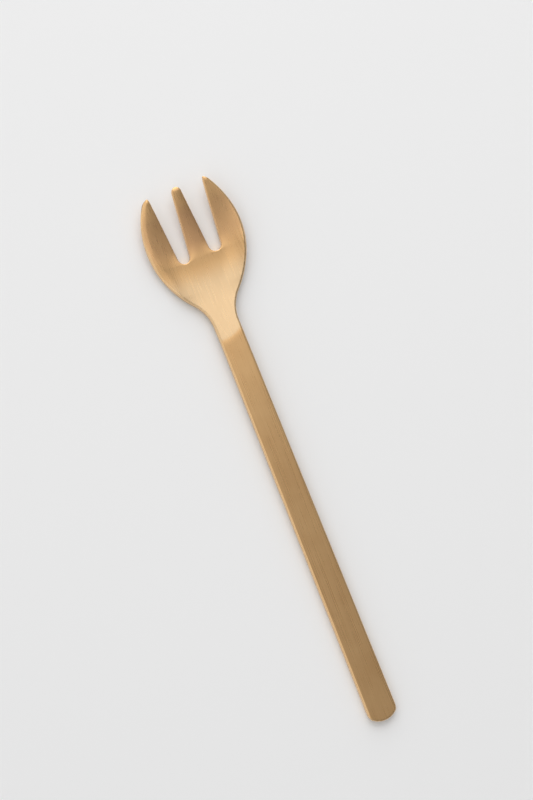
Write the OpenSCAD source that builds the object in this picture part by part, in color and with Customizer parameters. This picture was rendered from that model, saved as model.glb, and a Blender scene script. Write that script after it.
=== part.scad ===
// Dessert fork: a flat brass bar handle, a dipped neck and a pressed bowl with three tines.
// It lies as on a table, concave side up: +X runs to the tine tips, +Y to the fork's left, +Z up.
// The pieces are drawn in a working frame first: x = 0 where handle and neck meet, z = 0 half
// way through the handle's thickness. as_it_lies() then sets the fork down on its table.

/* [Handle] */
// Length of the handle, from its rounded end to the neck
handle_length = 101; // [70:1:140]
// Width of the handle at its rounded end
handle_end_width = 7.5; // [6:0.1:9]
// Width of the handle where the neck begins
handle_neck_width = 6.4; // [4.5:0.1:7.5]
// Radius of the shallow arc that closes the handle's end
end_arc_radius = 4.8; // [4.6:0.1:12]

/* [Plate] */
// Thickness of the plate that the whole fork is made from
plate_thickness = 2; // [1.4:0.1:2.8]
// Thickness at the tips, where the tines are thinned
tip_thickness = 1.3; // [0.8:0.1:1.8]
// Radius that softens every edge
edge_radius = 0.5; // [0.2:0.05:0.6]

/* [Head outline] */
// Length of the head, from the handle to the tip of the middle tine
head_length = 39.2; // [34:0.2:48]
// Width of the head across its rims, at the middle of the plate
head_width = 24.5; // [20:0.1:30]
// Distance from the handle to the widest line of the head
widest_at = 26.7; // [24:0.1:30]
// Length of neck that stays as narrow as the handle
shoulder_start = 3.7; // [1:0.1:6]
// Hollow radius of the shoulders, between neck and head
shoulder_radius = 10; // [6:0.5:16]

/* [Tines] */
// Distance between the centre lines of the two slots
slot_spacing = 8.3; // [7.4:0.1:9.6]
// Distance from the handle to the bottom of the slots
slot_root_at = 21.3; // [18:0.1:24]
// Radius of the round slot bottoms
slot_root_radius = 1.6; // [1.1:0.05:1.9]
// Angle at which each slot wall opens towards the tips
slot_flare = 5; // [2:0.25:6.5]
// Width of an outer tine at its tip, before rounding
tip_width = 1.1; // [0.8:0.1:2]
// Length over which a tip is rounded off
tip_round = 1.1; // [0.6:0.1:1.6]
// Where across its width an outer tip ends: 0 on the slot side, 1 on the outside
tip_lean = 0.25; // [0.1:0.05:0.9]
// How far the outer tips stop short of the middle one
tip_setback = 0.2; // [0:0.1:3]

/* [Pressed form] */
// Downward slope of the straight neck
neck_dip = 5; // [2:0.5:10]
// Distance from the handle to the end of the straight neck
neck_length = 10; // [7:0.5:13]
// Upward slope of the plate at the slot bottoms
root_rise = 3.5; // [2:0.5:9]
// Upward slope of the plate at the tip of the middle tine
tip_rise = 13.5; // [11:0.5:26]
// Width of the band along the head's outline that is raised as a rim
rim_width = 6.5; // [4:0.25:8]
// Radius at which that band curls up
rim_radius = 20; // [8.6:0.2:40]
// Distance from the handle at which the rim begins to rise
rim_start_at = 9.5; // [6:0.5:12]
// Distance from the handle at which the rim is fully raised
rim_full_at = 19; // [15:0.5:22]
// Share of the rim's curl that is left at the tips
tip_curl = 0; // [0:0.05:0.6]

/* [Cutting edge] */
// Width of the flat bevel that thins the left rim along the tine
bevel_width = 0.8; // [0.6:0.05:1.3]
// Width that the bevel gains beside the bowl, where it is widest
bevel_swell = 0.8; // [0:0.05:1]
// Angle between the bevel and the plate's upper face
bevel_angle = 37; // [15:1:45]
// Distance from the handle at which the bevel begins
bevel_start_at = 14; // [11:0.5:16]
// Distance from the handle at which the bevel is widest
bevel_widest_at = 20; // [17:0.5:22]

/* [Hidden] */
brass = [0.79, 0.63, 0.43];
$fn = 96;

// Steps round a softened edge, across the plate and along the lofts
edge_steps = 3;
neck_cells = 5;
bowl_cells = 22;
tine_cells = 8;
neck_rings = 9;
bowl_rings = 13;
slot_round_rings = 6;
tine_rings = 14;
tip_rings = 4;
// A tip's rounding stops at this angle, so that its end keeps a small face
tip_stop_angle = 72;
// The middle tine's tip ends on its own centre line
middle_lean = 0.5;
// Largest share of a width or thickness that one softened edge may take
soft_share = 0.45;
// Largest share of the half width that the rim may take, where the head narrows to the neck
rim_share = 0.8;
// Share of an edge's softening that is left on the bevel's outer corner, and as wall below it
bevel_corner_share = 0.3;
// Column across the plate beside an edge that has no bevel, in softened edges from it
plain_line = 1.5;

half_plate = plate_thickness / 2;
half_neck = handle_neck_width / 2;
half_end = handle_end_width / 2;
half_head = head_width / 2;
slot_offset = slot_spacing / 2;
outer_reach = head_length - tip_setback;

// Side profile: a straight dip along the neck, an arc through the bowl and a slower arc up the tines
bowl_bend_radius = (slot_root_at - neck_length) / (sin(neck_dip) + sin(root_rise));
bowl_bend_centre = [
    neck_length + bowl_bend_radius * sin(neck_dip),
    bowl_bend_radius * cos(neck_dip) - neck_length * tan(neck_dip)
];
tine_bend_radius = (head_length - slot_root_at) / (sin(tip_rise) - sin(root_rise));
tine_bend_centre = bowl_bend_centre
    + (bowl_bend_radius - tine_bend_radius) * [sin(root_rise), -cos(root_rise)];

function bend_height(x, centre, radius) = centre[1] - sqrt(pow(radius, 2) - pow(x - centre[0], 2));

function plate_height(x) =
    x < neck_length ? -x * tan(neck_dip)
    : x < slot_root_at ? bend_height(x, bowl_bend_centre, bowl_bend_radius)
    : bend_height(x, tine_bend_centre, tine_bend_radius);

// Slots: a round bottom with two straight walls that are tangent to it
function slot_half_width(x) =
    let (past_centre = x - slot_root_at - slot_root_radius)
    past_centre < -slot_root_radius * sin(slot_flare)
        ? sqrt(max(0, pow(slot_root_radius, 2) - pow(past_centre, 2)))
        : slot_root_radius / cos(slot_flare) + past_centre * tan(slot_flare);

// Outline: hollow shoulder arc, lower arc to the widest line and upper arc on to the outer tips,
// each tangent to the one before
shoulder_depth = half_neck + shoulder_radius - half_head;
shoulder_run = widest_at - shoulder_start;
lower_arc_radius = (pow(shoulder_run, 2) + pow(shoulder_depth, 2) - pow(shoulder_radius, 2))
    / (2 * (shoulder_radius - shoulder_depth));
shoulder_end = shoulder_start
    + shoulder_radius * shoulder_run / (lower_arc_radius + shoulder_radius);
tip_drop = half_head - slot_offset - slot_half_width(outer_reach) - tip_width;
upper_arc_radius = (pow(outer_reach - widest_at, 2) + pow(tip_drop, 2)) / (2 * tip_drop);

function half_width(x) =
    x < shoulder_start ? half_neck
    : x < shoulder_end
        ? half_neck + shoulder_radius - sqrt(pow(shoulder_radius, 2) - pow(x - shoulder_start, 2))
    : x < widest_at
        ? half_head - lower_arc_radius + sqrt(pow(lower_arc_radius, 2) - pow(widest_at - x, 2))
    : half_head - upper_arc_radius + sqrt(pow(upper_arc_radius, 2) - pow(x - widest_at, 2));

// Cross profile: a flat floor inside a rim that follows the outline. The rim grows past the
// shoulders, is highest at the slot bottoms and flattens again towards the tips.
function eased(t) = let (u = max(0, min(1, t))) u * u * (3 - 2 * u);
function curl(x) =
    eased((x - rim_start_at) / (rim_full_at - rim_start_at))
    * (1 - (1 - tip_curl) * eased((x - slot_root_at) / (head_length - slot_root_at)));
function past_floor(x, y) =
    max(0, min(rim_width, rim_share * half_width(x)) - half_width(x) + abs(y));
function rim_height(x, y) =
    curl(x) * (rim_radius - sqrt(pow(rim_radius, 2) - pow(past_floor(x, y), 2)));
function rim_slope(x, y) =
    let (past = past_floor(x, y))
    sign(y) * atan(curl(x) * past / sqrt(pow(rim_radius, 2) - pow(past, 2)));

// The tines are thinned evenly from the slot bottoms to the tips
function tine_thickness(x) =
    plate_thickness
    + (tip_thickness - plate_thickness) * (x - slot_root_at) / (head_length - slot_root_at);

// Width of the bevel on the left rim: it starts beside the bowl, swells and narrows along the tine
function bevel_at(x) =
    eased((x - bevel_start_at) / (bevel_widest_at - bevel_start_at))
    * (bevel_width + bevel_swell
        * (1 - eased((x - bevel_widest_at) / (widest_at - bevel_widest_at))));

// How far a rounded corner falls away at a distance from its edge
function corner_drop(inset, corner) =
    inset < corner ? corner - sqrt(max(0, pow(corner, 2) - pow(corner - inset, 2))) : 0;

// One point of the pressed plate, a distance off the plate's middle surface
function plate_point(x, y, off) =
    let (slope = rim_slope(x, y))
    [x, y - off * sin(slope), plate_height(x) + rim_height(x, y) + off * cos(slope)];

// One cross section between two edges: its upper side, then its lower side back again. Both
// edges are softened, and the upper side may have a bevel of the given width at the second edge.
function section(x, from, to, thickness, cells, bevel = 0) =
    let (
        soft = min(edge_radius, soft_share * (to - from), soft_share * thickness),
        line = min(max(bevel, plain_line * soft), to - from - soft / (2 * soft_share)),
        fall = min(min(bevel, line) * tan(bevel_angle),
            thickness - (1 + 2 * bevel_corner_share) * soft),
        corner = max(bevel_corner_share * soft, soft - fall),
        turns = [for (k = [0:edge_steps]) 90 * k / edge_steps],
        near = [for (a = turns) [from + soft * (1 - cos(a)), soft * (1 - sin(a))]],
        middle = [for (k = [1:cells]) [from + soft + (to - line - from - soft) * k / cells, 0]],
        far = [for (k = [edge_steps:-1:0]) [from + to - near[k][0], near[k][1]]],
        far_upper = [for (p = far) [p[0],
            bevel > 0 ? corner_drop(to - p[0], corner) + fall * max(0, 1 - (to - p[0]) / bevel) : p[1]]],
        upper = concat(near, middle, far_upper),
        lower = concat(near, middle, far),
        last = len(lower) - 1
    )
    concat(
        [for (p = upper) plate_point(x, p[0], thickness / 2 - p[1])],
        [for (k = [last:-1:0]) plate_point(x, lower[k][0], lower[k][1] - thickness / 2)]
    );

// Skins a row of cross sections and closes both ends
module loft(rings) {
    count = len(rings[0]);
    pairs = count / 2;
    end = (len(rings) - 1) * count;
    walls = [
        for (i = [0:len(rings) - 2], k = [0:count - 1])
            let (a = i * count + k, b = i * count + (k + 1) % count)
            each [[a, b, b + count], [a, b + count, a + count]]
    ];
    caps = [
        for (k = [0:pairs - 2])
            let (a = k, b = k + 1, c = count - 2 - k, d = count - 1 - k)
            each [[a, c, b], [a, d, c], [end + a, end + b, end + c], [end + a, end + c, end + d]]
    ];
    polyhedron([for (ring = rings) each ring], concat(walls, caps), convexity = 8);
}

// Places along a tine: close together round the slot bottom and at the tip
function tine_places(reach) =
    let (
        round_end = slot_root_at + slot_root_radius,
        tip_begin = reach - tip_round
    )
    concat(
        [for (k = [0:slot_round_rings]) slot_root_at
            + slot_root_radius * (1 - cos(90 * k / slot_round_rings))],
        [for (k = [1:tine_rings]) round_end + (tip_begin - round_end) * k / tine_rings],
        [for (k = [1:tip_rings]) tip_begin
            + tip_round * sin(tip_stop_angle * k / tip_rings) / sin(tip_stop_angle)]
    );

// How much of its width and thickness a tine keeps as its tip rounds off
function tip_share(x, reach) =
    let (past = max(0, x - reach + tip_round) / tip_round)
    cos(asin(past * sin(tip_stop_angle)));

// Both edges of a tine at one place: the outer tines lie between a slot and the head's outline
function outer_edges(x) = [slot_offset + slot_half_width(x), half_width(x)];
function middle_edges(x) = [slot_half_width(x) - slot_offset, slot_offset - slot_half_width(x)];

// One section of a tine. The tip closes in on a line that lies the given share of the way
// from the first edge to the second.
function tine_section(x, edges, reach, lean, bevel = 0) =
    let (
        share = tip_share(x, reach),
        tip_line = edges[0] + lean * (edges[1] - edges[0]),
        closed = [for (edge = edges) tip_line + share * (edge - tip_line)]
    )
    section(x, closed[0], closed[1], share * tine_thickness(x), tine_cells, share * bevel);

module outer_tine(bevelled) {
    loft([
        for (x = tine_places(outer_reach))
            tine_section(x, outer_edges(x), outer_reach, tip_lean, bevelled ? bevel_at(x) : 0)
    ]);
}

// The fork at rest touches the table with the underside of its bowl and the end of its handle,
// so both lie on one line, tangent to the bowl's bend
end_contact = [edge_radius - handle_length, -half_plate];
contact_to_bend = bowl_bend_centre - [0, half_plate] - end_contact;
rest_angle = atan2(contact_to_bend[1], contact_to_bend[0])
    - asin(bowl_bend_radius / norm(contact_to_bend));
rest_height = end_contact[0] * sin(rest_angle) - end_contact[1] * cos(rest_angle);
rest_middle = ((head_length - handle_length) * cos(rest_angle)
    + plate_height(head_length) * sin(rest_angle)) / 2;

module as_it_lies() {
    translate([-rest_middle, 0, rest_height])
        rotate([0, rest_angle, 0]) children();
}

// Plate section with one softened side, and deep enough to reach past the handle's other side
module soft_side_profile() {
    depth = handle_end_width + handle_neck_width;
    translate([-half_plate, -depth]) square([plate_thickness, depth - edge_radius]);
    translate([edge_radius - half_plate, -depth]) square([plate_thickness - 2 * edge_radius, depth]);
    for (side = [-1, 1])
        translate([side * (half_plate - edge_radius), -edge_radius]) circle(edge_radius);
}

// Slab with one softened side, along the handle's left edge
module handle_side() {
    taper = atan((half_end - half_neck) / handle_length);
    run_out = handle_end_width;
    translate([0, half_neck, 0])
        rotate([0, 0, -taper])
            translate([run_out, 0, 0])
                rotate([0, -90, 0])
                    linear_extrude(handle_length + 2 * run_out) soft_side_profile();
}

// Round plate with a softened rim, which closes the handle's end
module handle_end() {
    rotate_extrude() {
        translate([0, -half_plate]) square([end_arc_radius - edge_radius, plate_thickness]);
        translate([0, edge_radius - half_plate])
            square([end_arc_radius, plate_thickness - 2 * edge_radius]);
        for (side = [-1, 1])
            translate([end_arc_radius - edge_radius, side * (half_plate - edge_radius)])
                circle(edge_radius);
    }
}

module handle() {
    arc_centre = end_arc_radius - handle_length;
    color(brass) as_it_lies() intersection() {
        handle_side();
        mirror([0, 1, 0]) handle_side();
        union() {
            translate([arc_centre, -handle_end_width, -half_plate])
                cube([-arc_centre, 2 * handle_end_width, plate_thickness]);
            translate([arc_centre, 0, 0]) handle_end();
        }
    }
}

module neck() {
    color(brass) as_it_lies() loft([
        for (k = [0:neck_rings])
            let (x = neck_length * k / neck_rings)
            section(x, -half_width(x), half_width(x), plate_thickness, neck_cells)
    ]);
}

module bowl() {
    color(brass) as_it_lies() loft([
        for (k = [0:bowl_rings])
            let (x = neck_length + (slot_root_at - neck_length) * k / bowl_rings)
            section(x, -half_width(x), half_width(x), plate_thickness, bowl_cells, bevel_at(x))
    ]);
}

module left_tine() {
    color(brass) as_it_lies() outer_tine(true);
}

module middle_tine() {
    color(brass) as_it_lies() loft([
        for (x = tine_places(head_length)) tine_section(x, middle_edges(x), head_length, middle_lean)
    ]);
}

module right_tine() {
    color(brass) as_it_lies() mirror([0, 1, 0]) outer_tine(false);
}

handle();
neck();
bowl();
left_tine();
middle_tine();
right_tine();
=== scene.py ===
import math

import bmesh
import bpy
from mathutils import Matrix, Vector


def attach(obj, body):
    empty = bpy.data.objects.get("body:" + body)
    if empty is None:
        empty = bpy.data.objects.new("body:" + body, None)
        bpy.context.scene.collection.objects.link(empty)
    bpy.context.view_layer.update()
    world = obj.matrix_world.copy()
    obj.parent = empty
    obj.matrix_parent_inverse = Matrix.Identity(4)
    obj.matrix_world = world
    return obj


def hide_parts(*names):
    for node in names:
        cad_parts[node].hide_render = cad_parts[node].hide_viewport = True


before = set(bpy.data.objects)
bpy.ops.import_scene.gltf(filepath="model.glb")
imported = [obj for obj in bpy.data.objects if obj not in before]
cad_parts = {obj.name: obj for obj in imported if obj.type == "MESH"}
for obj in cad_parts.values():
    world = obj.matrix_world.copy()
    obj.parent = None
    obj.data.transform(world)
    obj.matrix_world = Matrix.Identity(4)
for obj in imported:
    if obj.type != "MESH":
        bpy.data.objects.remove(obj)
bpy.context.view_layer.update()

# Dessert fork of satin brass, one pressed plate, lying hollow side up on a pale table.
# Sizes are millimetres and degrees, objects are metres.
mm = 0.001
scene = bpy.context.scene
scene.view_settings.view_transform = "Standard"

# The camera stands square above the fork, a little to its left, with the fork turned in the picture
view = {
    "side": 10.73,        # degrees towards the fork's left
    "tilt": 0.99,         # degrees towards the tips
    "roll": -21.93,       # turn in the picture
    "away": 466.8,        # along the line of sight from the fork's middle
    "place": (-2.82, 13.63),  # sideways and upwards from the fork's middle
    "lens": 85.5,         # on a 36 mm long side
}


def makeCamera():
    side, tilt, roll = (math.radians(view[key]) for key in ("side", "tilt", "roll"))
    back = Vector((math.sin(tilt), math.sin(side) * math.cos(tilt), math.cos(side) * math.cos(tilt)))
    across = Vector((1, 0, 0)).cross(back).normalized()
    along = back.cross(across)
    right = math.cos(roll) * across + math.sin(roll) * along
    up = math.cos(roll) * along - math.sin(roll) * across
    stand = (back * view["away"] + right * view["place"][0] + up * view["place"][1]) * mm
    data = bpy.data.cameras.new("camera")
    data.sensor_width = 36
    data.lens = view["lens"]
    data.clip_start = 0.02
    camera = bpy.data.objects.new("camera", data)
    scene.collection.objects.link(camera)
    camera.matrix_world = Matrix.Translation(stand) @ Matrix((right, up, back)).transposed().to_4x4()
    scene.camera = camera
    print("camera", [round(value, 4) for value in stand])


def putNode(tree, kind, settings, links):
    node = tree.nodes.new(kind)
    for name, value in settings.items():
        setattr(node, name, value)
    for socket, source in links.items():
        if isinstance(source, bpy.types.NodeSocket):
            tree.links.new(source, node.inputs[socket])
        else:
            node.inputs[socket].default_value = source
    return node


def calc(tree, operation, *values):
    return putNode(tree, "ShaderNodeMath", {"operation": operation}, dict(enumerate(values))).outputs[0]


def hexColour(text):
    shares = [int(text[k:k + 2], 16) / 255 for k in (1, 3, 5)]
    return [s / 12.92 if s <= 0.04045 else ((s + 0.055) / 1.055) ** 2.4 for s in shares] + [1.0]


# Fork: the flat blank is cut first, with its edges softened, and then pressed to shape
fork = {
    "handleLength": 101.0, "endWidth": 7.5, "neckWidth": 6.4, "endArc": 4.8, "endCorner": 0.6,
    "plate": 2.0, "tipPlate": 1.3, "edge": 0.5, "slotEdge": 0.19,
    "headLength": 39.2, "headWidth": 24.5, "widestAt": 26.7, "shoulderAt": 3.7, "shoulderArc": 10.0,
    "slotOffset": 4.15, "slotRoot": 21.3, "slotRadius": 1.6, "slotFlare": 5.0,
    "tipWidth": 1.1, "tipRound": 1.1, "tipLean": 0.25, "tipSetback": 0.2,
    "neckDip": 5.0, "neckLength": 10.0, "rootRise": 3.5, "tipRise": 13.5,
    "rimWidth": 6.5, "rimRadius": 20.0, "rimStart": 8.0, "rimFull": 23.0, "rimShare": 0.8,
    # flat bevel that eases the left rim for cutting: widest beside the bowl, narrower along the tine
    "bevelAngle": 37.0, "bevelFrom": 11.5, "bevelWidest": 20.0, "bevelSwell": 0.8, "bevelWidth": 0.8,
    "bevelSoft": 0.15, "bevelDeepest": 0.6, "bevelShare": 0.5,   # most that it takes of plate and width
    "bevelLine": 0.06, "lineLeast": 1.3,   # mesh columns at its inner line, clear of the soft edge
    # worked by hand: tips of unlike reach and eased, faces a little crowned, a soft crease that runs
    # aslant, a head that is slightly uneven
    "leftReach": -0.2, "rightReach": 0.3,
    "tineCrown": 0.15, "tineCrownRun": 3.5, "handleCrown": 0.04, "tipEase": 0.25, "tipEaseRun": 6.0,
    "creaseAt": 0.35, "creaseSlant": 0.27, "creaseCurve": 0.055, "creaseRound": 1.6,
    "sway": 0.45, "swayFrom": 2.0, "swayTo": 21.0, "swayBack": 0.35,   # head a touch off the handle's line
    "rightFuller": 0.25, "fullestAt": 22.0, "fullRun": 14.0,   # its right side swells a little more
    "leftDeeper": 0.32, "deeperRun": 7.0, "deeperWide": 4.0,   # its left slot is a little deeper
    "rubbedAndHighlightFrom": 0.3, "rubbedAndHighlightTo": 14.0, "rubbedAndHighlightEnd": 20.0,   # stretch painted paler: rubbing wear plus a painted highlight
    "tonedAndShadeFrom": 20.5, "tonedAndShadeFull": 26.0, "tonedAndShadeTo": 32.0, "tonedAndShadeEnd": 37.0,   # stretch painted darker: toning by use plus painted shade
    "tonedAndShadeLess": 0.45,   # less on the outer tines
    "softShare": 0.3, "thinShare": 0.45,   # most that a soft edge takes of a width and of a thickness
    "edgeSteps": 5, "outerCells": 9, "middleCells": 6,   # mesh steps round an edge and across
    "endStep": 1.0, "handleStep": 1.5, "creaseStep": 0.2, "headStep": 0.5,   # mesh steps along
    "endRun": 4.0, "creaseFrom": -2.0, "creaseTo": 3.0,   # rows straighten out, and lie closer
    "rootTurns": 12, "tipTurns": 10, "tipTurn": 84.0,   # rows round a slot bottom and round a tip
}

tipSine = math.sin(math.radians(fork["tipTurn"]))
sinFlare, cosFlare, tanFlare = (f(math.radians(fork["slotFlare"])) for f in (math.sin, math.cos, math.tan))
halfNeck = fork["neckWidth"] / 2
halfHead = fork["headWidth"] / 2
outerReach = fork["headLength"] - fork["tipSetback"]
edgeTurns = [math.radians(90 * k / fork["edgeSteps"]) for k in range(fork["edgeSteps"] + 1)]


def slotHalf(x, grow):
    # half width of a slot that is grown all round: round bottom, then straight tangent walls
    radius = fork["slotRadius"] + grow
    past = x - fork["slotRoot"] - fork["slotRadius"]
    if past < -radius * sinFlare:
        return math.sqrt(max(0.0, radius ** 2 - past ** 2))
    return radius / cosFlare + past * tanFlare


# arcs of the outline: hollow shoulder, lower arc to the widest line, upper arc on to the outer tips
shoulderDepth = halfNeck + fork["shoulderArc"] - halfHead
shoulderRun = fork["widestAt"] - fork["shoulderAt"]
lowerArc = shoulderRun ** 2 + shoulderDepth ** 2 - fork["shoulderArc"] ** 2
lowerArc /= 2 * (fork["shoulderArc"] - shoulderDepth)
shoulderEnd = fork["shoulderAt"] + fork["shoulderArc"] * shoulderRun / (lowerArc + fork["shoulderArc"])
tipDrop = halfHead - fork["slotOffset"] - slotHalf(outerReach, 0) - fork["tipWidth"]
upperArc = ((outerReach - fork["widestAt"]) ** 2 + tipDrop ** 2) / (2 * tipDrop)


def outlineHalf(x):
    if x < 0:
        return halfNeck + (fork["endWidth"] - fork["neckWidth"]) / 2 * -x / fork["handleLength"]
    if x < fork["shoulderAt"]:
        return halfNeck
    if x < shoulderEnd:
        arc = fork["shoulderArc"]
        return halfNeck + arc - math.sqrt(arc ** 2 - (x - fork["shoulderAt"]) ** 2)
    arc = lowerArc if x < fork["widestAt"] else upperArc
    return halfHead - arc + math.sqrt(arc ** 2 - (x - fork["widestAt"]) ** 2)


def outlineLean(x):
    # cosine of the outline's angle to the fork's length
    return math.cos(math.atan((outlineHalf(x + 0.01) - outlineHalf(x - 0.01)) / 0.02))


def eased(share):
    share = min(1.0, max(0.0, share))
    return share * share * (3 - 2 * share)


def rimCurl(x):
    # the rim rises past the shoulders and flattens again towards the tips
    rise = eased((x - fork["rimStart"]) / (fork["rimFull"] - fork["rimStart"]))
    return rise * (1 - eased((x - fork["slotRoot"]) / (fork["headLength"] - fork["slotRoot"])))


def pastFloor(x, y):
    # how far a point lies out on the rim
    half = outlineHalf(x)
    return max(0.0, min(fork["rimWidth"], fork["rimShare"] * half) - half + abs(y))


def bevelWidth(x):
    rise = eased((x - fork["bevelFrom"]) / (fork["bevelWidest"] - fork["bevelFrom"]))
    fall = eased((x - fork["bevelWidest"]) / (fork["widestAt"] - fork["bevelWidest"]))
    return rise * (fork["bevelWidth"] + fork["bevelSwell"] * (1 - fall))


def insetsOf(soft):
    return [soft * (1 - math.cos(a)) for a in edgeTurns]


def dropOf(inset, soft, depth):
    # how far the face has rounded down at this distance from the edge
    inside = min(1.0, max(0.0, 1 - inset / soft))
    return depth * (1 - math.sqrt(1 - inside ** 2))


def outerInsets(x, width):
    # columns from an outer edge inwards: round its softened corner, then on both sides of the bevel's line
    soft = min(fork["edge"], fork["softShare"] * width)
    bevel = min(bevelWidth(x), fork["bevelShare"] * width)
    line = max(bevel, fork["lineLeast"] * soft)
    return insetsOf(soft) + [line - fork["bevelLine"], line + fork["bevelLine"]], soft, bevel


def upperDrop(inset, soft, bevel, depth):
    # fall of the upper face at the left rim: flat bevel, with a small round at its outer edge
    if bevel <= 0:
        return dropOf(inset, soft, depth)
    share = eased(bevel / fork["edge"])
    corner = soft + (fork["bevelSoft"] - soft) * share
    flat = bevel * math.tan(math.radians(fork["bevelAngle"])) * max(0.0, 1 - inset / bevel)
    return min(flat + dropOf(inset, corner, min(depth, corner)), fork["bevelDeepest"] * fork["plate"])


def wornAt(inset, soft):
    return max(0.0, 1 - inset / soft)


# paler from the crease onto the bowl: rubbing wear plus a painted highlight
def rubbedAndHighlightAt(x, y):
    start = fork["creaseAt"] - fork["creaseSlant"] * y + fork["creaseCurve"] * y * y - fork["rubbedAndHighlightFrom"]
    return eased(x - start) * (1 - eased((x - fork["rubbedAndHighlightTo"]) / (fork["rubbedAndHighlightEnd"] - fork["rubbedAndHighlightTo"])))


# darker along the tines, less on the outer ones: toning by use plus painted shade
def tonedAndShadeAt(x, y):
    outer = eased((abs(y) - fork["slotOffset"]) / fork["slotRadius"])
    rise = eased((x - fork["tonedAndShadeFrom"]) / (fork["tonedAndShadeFull"] - fork["tonedAndShadeFrom"]))
    fall = eased((x - fork["tonedAndShadeTo"]) / (fork["tonedAndShadeEnd"] - fork["tonedAndShadeTo"]))
    return rise * (1 - fall) * (1 - fork["tonedAndShadeLess"] * outer)


def between(first, last, cells):
    return [first + (last - first) * k / cells for k in range(1, cells)]


rootSteps = [slotHalf(fork["slotRoot"], inset) for inset in insetsOf(fork["slotEdge"])]
slotLine = 2 * len(edgeTurns) + fork["outerCells"]   # column where a slot opens


def trunkColumns(x):
    half = outlineHalf(x)
    scale = half / outlineHalf(fork["slotRoot"])
    outer = [half - inset / outlineLean(x) for inset in outerInsets(x, half)[0]]
    beside = [(fork["slotOffset"] + step) * scale for step in reversed(rootSteps)]
    within = [(fork["slotOffset"] - step) * scale for step in rootSteps[1:]]
    left = outer + between(outer[-1], beside[0], fork["outerCells"]) + beside + within
    return left + between(left[-1], -left[-1], fork["middleCells"]) + [-y for y in reversed(left)]


def tineThickness(x):
    share = (x - fork["slotRoot"]) / (fork["headLength"] - fork["slotRoot"])
    return fork["plate"] + (fork["tipPlate"] - fork["plate"]) * share


def tipShare(x, reach):
    past = max(0.0, x - reach + fork["tipRound"]) / fork["tipRound"]
    return math.cos(math.asin(past * tipSine))


def tineColumns(x, outer):
    # columns across a tine with their inset and soft edge, and the line on which its tip closes
    inner = slotHalf(x, 0)
    if outer:
        low, high, lean = fork["slotOffset"] + inner, outlineHalf(x), outlineLean(x)
    else:
        low, high, lean = inner - fork["slotOffset"], fork["slotOffset"] - inner, cosFlare
    width = (high - low) * lean
    softNear = min(fork["slotEdge"], fork["softShare"] * width)
    thin = fork["thinShare"] * tineThickness(x)
    nearInsets = insetsOf(softNear)
    nearSteps = [slotHalf(x, inset) - inner for inset in nearInsets]
    near = [(low + step, inset, softNear, 0.0, min(softNear, thin))
            for step, inset in zip(nearSteps, nearInsets)][::-1]
    if outer:
        farInsets, soft, bevel = outerInsets(x, width)
        far = [(high - inset / lean, inset, soft, bevel, min(soft, thin)) for inset in farInsets]
    else:
        far = [(-y, inset, soft, bevel, depth) for y, inset, soft, bevel, depth in reversed(near)]
    cells = fork["outerCells"] if outer else fork["middleCells"]
    inside = [(y, softNear, softNear, 0.0, softNear) for y in between(far[-1][0], near[0][0], cells)]
    line = low + fork["tipLean"] * (high - low) if outer else 0.0
    return far + inside + near, line


def spread(first, last, step):
    count = max(1, round(abs(last - first) / step))
    return [first + (last - first) * k / count for k in range(1, count + 1)]


def hump(share):
    return max(0.0, 1 - share * share) ** 2


def unevenAt(x, y):
    # how far a point lies from its place on an even fork
    off = eased((x - fork["swayFrom"]) / (fork["swayTo"] - fork["swayFrom"]))
    back = eased((x - fork["widestAt"]) / (fork["headLength"] - fork["widestAt"]))
    fuller = fork["rightFuller"] * hump((x - fork["fullestAt"]) / fork["fullRun"]) * max(0.0, -y / halfHead)
    deeper = hump((x - fork["slotRoot"]) / fork["deeperRun"])
    deeper *= hump((y - fork["slotOffset"]) / fork["deeperWide"])
    return -fork["leftDeeper"] * deeper, -fork["sway"] * (off - fork["swayBack"] * back) - fuller


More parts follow.
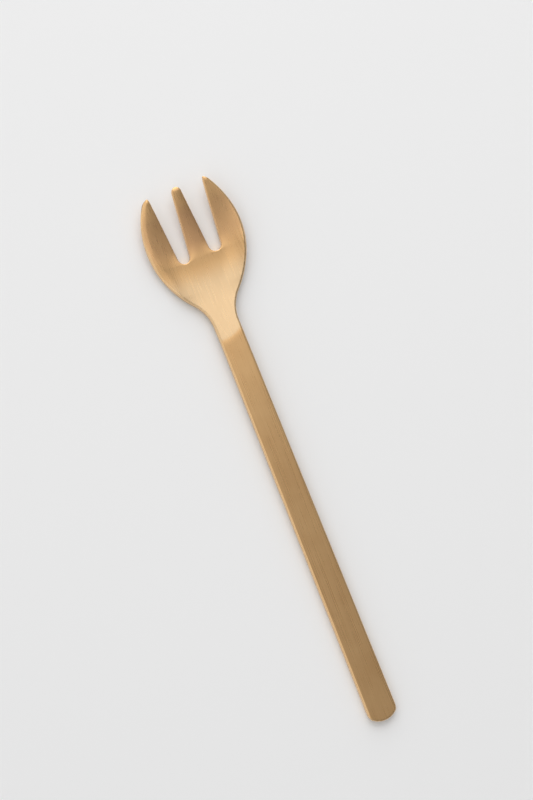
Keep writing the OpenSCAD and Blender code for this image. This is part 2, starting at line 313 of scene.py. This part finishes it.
def makeBlank():
    bm = bmesh.new()
    wear = bm.verts.layers.float.new("edgeWear")
    past = bm.verts.layers.float.new("pastFloor")
    curl = bm.verts.layers.float.new("rimCurl")
    # mask of the paler stretch: rubbing wear plus a painted highlight
    rubbedAndHighlight = bm.verts.layers.float.new("rubbedAndHighlight")
    # mask of the darker tines: toning by use plus painted shade
    tonedAndShade = bm.verts.layers.float.new("tonedAndShade")
    flat = {}

    def addPair(x, y, half, drop, rise, worn):
        # one point on the upper face and one below it, with their distances from the full faces
        pair = []
        along, aside = unevenAt(x, y)
        for height in (half - drop, rise - half):
            vert = bm.verts.new(((x + along) * mm, (y + aside) * mm, height * mm))
            vert[wear] = worn
            vert[past] = pastFloor(x, y) * mm
            vert[curl] = rimCurl(x)
            vert[rubbedAndHighlight] = rubbedAndHighlightAt(x, y)
            vert[tonedAndShade] = tonedAndShadeAt(x, y)
            flat[vert] = (x, y)
            pair.append(vert)
        return pair

    def skin(before, after):
        for k in range(len(before) - 1):
            bm.faces.new((before[k][0], before[k + 1][0], after[k + 1][0], after[k][0]))
            bm.faces.new((before[k][1], after[k][1], after[k + 1][1], before[k + 1][1]))

    def wall(first, second):
        bm.faces.new((first[0], second[0], second[1], first[1]))

    edge, half = fork["edge"], fork["plate"] / 2
    rows = []

    # rounded end of the handle: rows parallel to its arc that straighten out, with softened corners
    arc, corner = fork["endArc"], fork["endCorner"]
    centre = arc - fork["handleLength"]
    endInsets = insetsOf(edge) + between(edge, corner, 2) + [corner]
    sideAt = outlineHalf(centre - math.sqrt(arc ** 2 - (fork["endWidth"] / 2) ** 2))
    for inset in endInsets:
        row = []
        for y in trunkColumns(centre):
            place = y * sideAt / outlineHalf(centre)
            side = sideAt - abs(place)
            u, v = corner - side, corner - inset
            if u > 0 and v > 0:   # the square corner is drawn in to a round one
                pull = max(u, v) / math.hypot(u, v)
                u, v = u * pull, v * pull
                place = math.copysign(sideAt - corner + u, y)
            ring = arc - corner + v
            nearest = min(side, inset)
            drop = dropOf(nearest, edge, edge)
            crown = fork["handleCrown"] * (place / sideAt) ** 2
            row.append(addPair(centre - math.sqrt(ring ** 2 - place ** 2), place, half,
                               drop + crown, drop, wornAt(nearest, edge)))
        rows.append(row)
    straight = centre + fork["endRun"]
    ring = arc - corner
    for x in spread(centre - ring, straight, fork["endStep"]):
        share = (straight - x) / (straight - centre + ring)
        row = []
        for y in trunkColumns(x):
            side = outlineHalf(x) - abs(y)
            drop = dropOf(side, edge, edge)
            crown = fork["handleCrown"] * (y / outlineHalf(x)) ** 2
            row.append(addPair(x + share * (ring - math.sqrt(ring ** 2 - y ** 2)), y, half,
                               drop + crown, drop, wornAt(side, edge)))
        rows.append(row)

    # handle, neck and bowl, with closer rows at the crease and at the slot bottoms
    root, radius = fork["slotRoot"], fork["slotRadius"]
    slotEdge = fork["slotEdge"]
    places = spread(straight, fork["creaseFrom"], fork["handleStep"])
    places += spread(fork["creaseFrom"], fork["creaseTo"], fork["creaseStep"])
    places += spread(fork["creaseTo"], fork["neckLength"], fork["headStep"])
    places += spread(fork["neckLength"], root - 2 * slotEdge, fork["headStep"])
    places += [root - 1.5 * slotEdge] + [root - inset for inset in reversed(insetsOf(slotEdge))]
    for x in places:
        row = []
        for y in trunkColumns(x):
            side = (outlineHalf(x) - abs(y)) * outlineLean(x)
            slot = math.hypot(x - root - radius, abs(y) - fork["slotOffset"]) - radius
            below = max(dropOf(side, edge, edge), dropOf(slot, slotEdge, slotEdge))
            drop = below
            if y > 0:
                drop = max(upperDrop(side, edge, bevelWidth(x), edge), below if slot < slotEdge else 0)
            crown = fork["handleCrown"] * eased(1 - x / fork["shoulderAt"]) * (y / outlineHalf(x)) ** 2
            worn = max(wornAt(side, edge), wornAt(slot, slotEdge))
            row.append(addPair(x, y, half, drop + crown, below, worn))
        rows.append(row)
    for before, after in zip(rows, rows[1:]):
        skin(before, after)
        wall(before[0], after[0])
        wall(before[-1], after[-1])
    for k in range(len(rows[0]) - 1):
        wall(rows[0][k], rows[0][k + 1])

    # three tines, each from its slice of the bowl's last row
    last = rows[-1]
    tines = (
        (last[:slotLine + 1], True, 1, outerReach + fork["leftReach"]),
        (last[slotLine:len(last) - slotLine], False, 1, fork["headLength"]),
        (last[::-1][:slotLine + 1], True, -1, outerReach + fork["rightReach"]),
    )
    for before, outer, hand, reach in tines:
        tipStart = reach - fork["tipRound"]
        turns = [math.radians(90 * k / fork["rootTurns"]) for k in range(1, fork["rootTurns"] + 1)]
        places = [root + radius * (1 - math.cos(a)) for a in turns]
        places += spread(places[-1], tipStart, fork["headStep"])
        turns = [math.radians(fork["tipTurn"] * k / fork["tipTurns"]) for k in range(1, fork["tipTurns"] + 1)]
        places += [tipStart + fork["tipRound"] * math.sin(a) / tipSine for a in turns]
        for x in places:
            columns, line = tineColumns(x, outer)
            share = tipShare(x, reach)
            thick = tineThickness(x)
            ease = fork["tipEase"] * max(0.0, 1 - (reach - x) / fork["tipEaseRun"]) ** 2
            crowned = fork["tineCrown"] * eased((x - root) / fork["tineCrownRun"])
            middle = (columns[0][0] + columns[-1][0]) / 2
            width = (columns[0][0] - columns[-1][0]) / 2
            row = []
            for y, inset, soft, bevel, depth in columns:
                crown = crowned * ((y - middle) / width) ** 2
                below = dropOf(inset, soft, depth)
                drop = upperDrop(inset, soft, bevel, depth) if hand > 0 else below
                row.append(addPair(x, hand * (line + share * (y - line)), share * thick / 2,
                                   share * (drop + crown + ease), share * below, wornAt(inset, soft)))
            skin(before, row)
            wall(before[0], row[0])
            wall(before[-1], row[-1])
            before = row
        for k in range(len(before) - 1):
            wall(before[k], before[k + 1])

    bmesh.ops.recalc_face_normals(bm, faces=bm.faces)
    uv = bm.loops.layers.uv.new("lengthwise")
    length = 140   # so that the whole fork lies within one tile
    for face in bm.faces:
        face.smooth = True
        for loop in face.loops:
            x, y = flat[loop.vert]
            loop[uv].uv = (x / length + 0.75, y / length + 0.5)
    mesh = bpy.data.meshes.new("blank")
    bm.to_mesh(mesh)
    bm.free()
    print("blank", len(mesh.vertices), "points", len(mesh.polygons), "faces")
    return mesh


# Pressing: side profile, raised rim and the way the fork lies, as a rule on every point of the blank
def pressForm():
    sine = {key: math.sin(math.radians(fork[key])) for key in ("neckDip", "rootRise", "tipRise")}
    cosine = {key: math.cos(math.radians(fork[key])) for key in ("neckDip", "rootRise", "tipRise")}
    tangent = sine["neckDip"] / cosine["neckDip"]
    bowlRadius = (fork["slotRoot"] - fork["neckLength"]) / (sine["neckDip"] + sine["rootRise"])
    bowlCentre = (fork["neckLength"] + bowlRadius * sine["neckDip"],
                  bowlRadius * cosine["neckDip"] - fork["neckLength"] * tangent)
    tineRadius = (fork["headLength"] - fork["slotRoot"]) / (sine["tipRise"] - sine["rootRise"])
    tineCentre = (bowlCentre[0] + (bowlRadius - tineRadius) * sine["rootRise"],
                  bowlCentre[1] - (bowlRadius - tineRadius) * cosine["rootRise"])
    # at rest the handle's end and the bowl's underside touch the table
    endX, endZ = fork["edge"] - fork["handleLength"], -fork["plate"] / 2
    awayX, awayZ = bowlCentre[0] - endX, bowlCentre[1] - fork["plate"] / 2 - endZ
    turn = math.atan2(awayZ, awayX) - math.asin(bowlRadius / math.hypot(awayX, awayZ))
    tipZ = tineCentre[1] - math.sqrt(tineRadius ** 2 - (fork["headLength"] - tineCentre[0]) ** 2)
    middle = ((fork["headLength"] - fork["handleLength"]) * math.cos(turn) + tipZ * math.sin(turn)) / 2
    height = endX * math.sin(turn) - endZ * math.cos(turn)
    return {
        "Neck Fall": tangent, "Neck End": fork["neckLength"] * mm, "Slot Root": fork["slotRoot"] * mm,
        "Bowl Radius": bowlRadius * mm, "Bowl Centre": bowlCentre[0] * mm,
        "Tine Radius": tineRadius * mm, "Tine Centre": tineCentre[0] * mm,
        "Rim Radius": fork["rimRadius"] * mm,
        "Crease At": fork["creaseAt"] * mm, "Crease Slant": fork["creaseSlant"],
        "Crease Curve": fork["creaseCurve"] / mm, "Crease Round": fork["creaseRound"] * mm,
        "Lie Turn": turn, "Lie Back": -middle * mm, "Lie Height": height * mm,
    }


def makePressTree(sizes, material):
    tree = bpy.data.node_groups.new("pressedPlate", "GeometryNodeTree")
    tree.interface.new_socket("Blank", in_out="INPUT", socket_type="NodeSocketGeometry")
    for name in sizes:
        tree.interface.new_socket(name, in_out="INPUT", socket_type="NodeSocketFloat")
    tree.interface.new_socket("Fork", in_out="OUTPUT", socket_type="NodeSocketGeometry")
    size = putNode(tree, "NodeGroupInput", {}, {}).outputs
    place = putNode(tree, "GeometryNodeInputPosition", {}, {}).outputs[0]
    x, y, z = putNode(tree, "ShaderNodeSeparateXYZ", {}, {0: place}).outputs

    # straight fall of the neck, from a crease that runs aslant
    share = putNode(tree, "ShaderNodeMath", {"operation": "DIVIDE", "use_clamp": True},
                    {0: x, 1: size["Neck End"]}).outputs[0]
    left = calc(tree, "SUBTRACT", 1.0, share)
    slant = calc(tree, "MULTIPLY", y, size["Crease Slant"])
    curve = calc(tree, "MULTIPLY", y, size["Crease Curve"])
    start = calc(tree, "MULTIPLY_ADD", curve, y, size["Crease At"])
    slant = calc(tree, "SUBTRACT", slant, start)
    fromCrease = calc(tree, "MULTIPLY_ADD", slant, left, x)
    fromCrease = calc(tree, "SMOOTH_MAX", fromCrease, 0.0, size["Crease Round"])
    alongNeck = calc(tree, "MINIMUM", fromCrease, size["Neck End"])
    fall = calc(tree, "MULTIPLY", alongNeck, size["Neck Fall"])
    lift = calc(tree, "MULTIPLY", fall, -1.0)

    # two bends, each as radius times the difference of two cosines
    reach = calc(tree, "MAXIMUM", x, size["Slot Root"])
    within = putNode(tree, "ShaderNodeClamp", {},
                     {0: x, 1: size["Neck End"], 2: size["Slot Root"]}).outputs[0]
    bends = (("Bowl", within, size["Neck End"]), ("Tine", reach, size["Slot Root"]))
    for name, there, start in bends:
        heights = []
        for spot in (start, there):
            off = calc(tree, "SUBTRACT", spot, size[name + " Centre"])
            share = calc(tree, "DIVIDE", off, size[name + " Radius"])
            angle = calc(tree, "ARCSINE", share)
            heights.append(calc(tree, "COSINE", angle))
        rise = calc(tree, "SUBTRACT", heights[0], heights[1])
        lift = calc(tree, "MULTIPLY_ADD", rise, size[name + " Radius"], lift)

    # rim raised past the flat floor; the plate's thickness turns with it
    past = putNode(tree, "GeometryNodeInputNamedAttribute", {"data_type": "FLOAT"},
                   {"Name": "pastFloor"}).outputs[0]
    curl = putNode(tree, "GeometryNodeInputNamedAttribute", {"data_type": "FLOAT"},
                   {"Name": "rimCurl"}).outputs[0]
    share = calc(tree, "DIVIDE", past, size["Rim Radius"])
    turn = calc(tree, "ARCSINE", share)
    reach = calc(tree, "COSINE", turn)
    rise = calc(tree, "SUBTRACT", 1.0, reach)
    rise = calc(tree, "MULTIPLY", rise, curl)
    lift = calc(tree, "MULTIPLY_ADD", rise, size["Rim Radius"], lift)
    steep = calc(tree, "TANGENT", turn)
    steep = calc(tree, "MULTIPLY", steep, curl)
    slope = calc(tree, "ARCTANGENT", steep)
    sine = calc(tree, "SINE", slope)
    cosine = calc(tree, "COSINE", slope)
    height = calc(tree, "MULTIPLY_ADD", z, cosine, lift)
    hand = calc(tree, "SIGN", y)
    shift = calc(tree, "MULTIPLY", z, sine)
    shift = calc(tree, "MULTIPLY", shift, hand)
    across = calc(tree, "SUBTRACT", y, shift)
    pressed = putNode(tree, "ShaderNodeCombineXYZ", {}, {0: x, 1: across, 2: height}).outputs[0]
    plate = putNode(tree, "GeometryNodeSetPosition", {},
                    {"Geometry": size["Blank"], "Position": pressed}).outputs[0]
    for name in ("pastFloor", "rimCurl"):
        plate = putNode(tree, "GeometryNodeRemoveAttribute", {},
                        {"Geometry": plate, "Name": name}).outputs[0]

    # laid on the table
    lieAt = putNode(tree, "ShaderNodeCombineXYZ", {},
                    {0: size["Lie Back"], 2: size["Lie Height"]}).outputs[0]
    lieTurn = putNode(tree, "ShaderNodeCombineXYZ", {}, {1: size["Lie Turn"]}).outputs[0]
    laid = putNode(tree, "GeometryNodeTransform", {},
                   {"Geometry": plate, "Translation": lieAt, "Rotation": lieTurn}).outputs[0]
    whole = putNode(tree, "GeometryNodeRealizeInstances", {}, {"Geometry": laid}).outputs[0]
    coated = putNode(tree, "GeometryNodeSetMaterial", {},
                     {"Geometry": whole, "Material": material}).outputs[0]
    putNode(tree, "NodeGroupOutput", {}, {"Fork": coated})
    return tree


# Satin brass: pressed sheet, brushed along its length by hand and lightly toned by use, with painted shade on
# the tines and a painted highlight from the crease onto the bowl.
# The eye gets a warm, soft reflection with fine streaks along the fork and cleaner, brighter edges.
brass = {
    # the paler colour carries a painted highlight and the darker toned colour carries painted shade, each
    # besides wear
    "light": "#E8BD87", "deep": "#DCAF7A", "rubbedAndHighlight": "#DFBF95", "tonedAndShade": "#D6A87A", "edge": "#EBC798",
    "roughness": 0.295, "streakRoughness": 0.08, "edgeRoughness": 0.24,
    "streakLength": 22.0, "streakWidth": 0.35,   # real scratches are a tenth as wide and would not show
    "toneSize": 7.0,
    "anisotropy": 0.4, "grainTurn": 0.25,   # a quarter turn, so that the grain runs along the fork
    "reliefStrength": 0.15, "reliefDepth": 0.03,
}


def makeBrass():
    material = bpy.data.materials.new("satinBrass")
    material.use_nodes = True
    tree = material.node_tree
    tree.nodes.clear()
    spot = putNode(tree, "ShaderNodeTexCoord", {}, {}).outputs["Object"]
    stretch = [1 / (brass[key] * mm) for key in ("streakLength", "streakWidth", "streakWidth")]
    lined = putNode(tree, "ShaderNodeMapping", {}, {"Vector": spot, "Scale": stretch}).outputs[0]
    streak = putNode(tree, "ShaderNodeTexNoise", {},
                     {"Vector": lined, "Scale": 1.0, "Detail": 4.0, "Roughness": 0.6}).outputs[0]
    tone = putNode(tree, "ShaderNodeTexNoise", {},
                   {"Vector": spot, "Scale": 1 / (brass["toneSize"] * mm),
                    "Detail": 3.0, "Roughness": 0.55}).outputs[0]
    worn = putNode(tree, "ShaderNodeAttribute", {"attribute_name": "edgeWear"}, {}).outputs["Fac"]
    rubbedAndHighlight = putNode(tree, "ShaderNodeAttribute", {"attribute_name": "rubbedAndHighlight"}, {}).outputs["Fac"]
    tonedAndShade = putNode(tree, "ShaderNodeAttribute", {"attribute_name": "tonedAndShade"}, {}).outputs["Fac"]
    blend = calc(tree, "MULTIPLY", streak, 0.5)
    blend = calc(tree, "MULTIPLY_ADD", tone, 0.5, blend)
    blend = putNode(tree, "ShaderNodeMapRange", {}, {0: blend, 1: 0.35, 2: 0.65}).outputs[0]
    face = putNode(tree, "ShaderNodeMix", {"data_type": "RGBA"},
                   {0: blend, 6: hexColour(brass["deep"]), 7: hexColour(brass["light"])}).outputs[2]
    # darker colour along the tines: toning by use plus painted shade
    face = putNode(tree, "ShaderNodeMix", {"data_type": "RGBA"},
                   {0: tonedAndShade, 6: face, 7: hexColour(brass["tonedAndShade"])}).outputs[2]
    # paler colour from the crease onto the bowl: rubbing wear plus a painted highlight
    face = putNode(tree, "ShaderNodeMix", {"data_type": "RGBA"},
                   {0: rubbedAndHighlight, 6: face, 7: hexColour(brass["rubbedAndHighlight"])}).outputs[2]
    colour = putNode(tree, "ShaderNodeMix", {"data_type": "RGBA"},
                     {0: worn, 6: face, 7: hexColour(brass["edge"])}).outputs[2]
    rough = putNode(tree, "ShaderNodeMapRange", {},
                    {0: streak, 1: 0.3, 2: 0.7, 3: brass["roughness"] - brass["streakRoughness"] / 2,
                     4: brass["roughness"] + brass["streakRoughness"] / 2}).outputs[0]
    rough = putNode(tree, "ShaderNodeMix", {"data_type": "FLOAT"},
                    {0: worn, 2: rough, 3: brass["edgeRoughness"]}).outputs[0]
    relief = putNode(tree, "ShaderNodeBump", {},
                     {"Strength": brass["reliefStrength"], "Distance": brass["reliefDepth"] * mm,
                      "Height": streak}).outputs[0]
    grain = putNode(tree, "ShaderNodeTangent",
                    {"direction_type": "UV_MAP", "uv_map": "lengthwise"}, {}).outputs[0]
    shader = putNode(tree, "ShaderNodeBsdfPrincipled", {},
                     {"Base Color": colour, "Metallic": 1.0, "Roughness": rough, "Normal": relief,
                      "Anisotropic": brass["anisotropy"], "Anisotropic Rotation": brass["grainTurn"],
                      "Tangent": grain}).outputs[0]
    putNode(tree, "ShaderNodeOutputMaterial", {}, {"Surface": shader})
    print("material", material.name)
    return material


def makeFork():
    material = makeBrass()
    blank = bpy.data.objects.new("blank", makeBlank())
    scene.collection.objects.link(blank)
    sizes = pressForm()
    press = blank.modifiers.new("press", "NODES")
    press.node_group = makePressTree(sizes, material)
    for item in press.node_group.interface.items_tree:
        if item.in_out == "INPUT" and item.name in sizes:
            press[item.identifier] = sizes[item.name]
    depsgraph = bpy.context.evaluated_depsgraph_get()
    mesh = bpy.data.meshes.new_from_object(blank.evaluated_get(depsgraph), preserve_all_data_layers=True,
                                           depsgraph=depsgraph)
    mesh.name = "fork"
    bpy.data.objects.remove(blank)
    piece = bpy.data.objects.new("fork", mesh)
    scene.collection.objects.link(piece)
    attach(piece, "root")
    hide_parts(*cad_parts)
    print("fork", len(mesh.vertices), "points", len(mesh.polygons), "faces")


# Stage: pale matt table in a plain room that is brighter to the left of the tips, with soft boxes above
# and on the left and a big low panel beyond the tips
stage = {
    "table": "#F5F5F5", "tableSize": 12.0, "tableRoughness": 0.9,
    "bright": 1.04, "dim": 0.28, "dimFrom": -0.55,   # levels of the bright and the dim side
    "turn": 42.0,   # turn of the bright side from the tips to the fork's left
    "lamps": {
        "overhead": {
            "at": (0.316, -0.09, 0.5), "aim": (0.316, -0.09, 0.0),
            "size": (0.55, 0.37), "spin": 13.0, "watts": 0.485,
        },
        "left": {
            "at": (-0.17, 0.41, 0.57), "aim": (-0.17, 0.0, 0.0),
            "size": (0.55, 0.35), "spin": 0.0, "watts": 0.22,
        },
        "panel": {
            "at": (2.0, -0.45, 1.3), "aim": (0.0, 0.0, 0.0),
            "size": (2.2, 3.0), "spin": 0.0, "watts": 29.0,
        },
    },
}


def makeStage():
    mesh = bpy.data.meshes.new("table")
    half = stage["tableSize"] / 2
    corners = [(-half, -half, 0), (half, -half, 0), (half, half, 0), (-half, half, 0)]
    mesh.from_pydata(corners, [], [(0, 1, 2, 3)])
    table = bpy.data.objects.new("table", mesh)
    scene.collection.objects.link(table)
    paint = bpy.data.materials.new("mattPaint")
    paint.use_nodes = True
    paint.node_tree.nodes["Principled BSDF"].inputs["Base Color"].default_value = hexColour(stage["table"])
    paint.node_tree.nodes["Principled BSDF"].inputs["Roughness"].default_value = stage["tableRoughness"]
    mesh.materials.append(paint)

    world = bpy.data.worlds.new("studio")
    world.use_nodes = True
    tree = world.node_tree
    tree.nodes.clear()
    way = putNode(tree, "ShaderNodeTexCoord", {}, {}).outputs["Generated"]
    turned = putNode(tree, "ShaderNodeMapping", {"vector_type": "POINT"},
                     {"Vector": way, "Rotation": (0, 0, -math.radians(stage["turn"]))}).outputs[0]
    ahead = putNode(tree, "ShaderNodeSeparateXYZ", {}, {0: turned}).outputs[0]
    level = putNode(tree, "ShaderNodeMapRange", {},
                    {0: ahead, 1: stage["dimFrom"], 2: 1.0, 3: stage["dim"], 4: stage["bright"]}).outputs[0]
    sky = putNode(tree, "ShaderNodeBackground", {}, {"Color": (1, 1, 1, 1), "Strength": level}).outputs[0]
    putNode(tree, "ShaderNodeOutputWorld", {}, {"Surface": sky})
    scene.world = world

    for name, lamp in stage["lamps"].items():
        data = bpy.data.lights.new(name, "AREA")
        data.shape = "RECTANGLE"
        data.size, data.size_y = lamp["size"]
        data.energy = lamp["watts"]
        light = bpy.data.objects.new(name, data)
        scene.collection.objects.link(light)
        away = Vector(lamp["at"]) - Vector(lamp["aim"])
        across = Vector((0, 1, 0)).cross(away).normalized()
        facing = Matrix((across, away.normalized().cross(across), away.normalized())).transposed().to_4x4()
        spin = Matrix.Rotation(math.radians(lamp["spin"]), 4, "Z")
        light.matrix_world = Matrix.Translation(lamp["at"]) @ facing @ spin
    print("stage")


makeCamera()
makeFork()
makeStage()
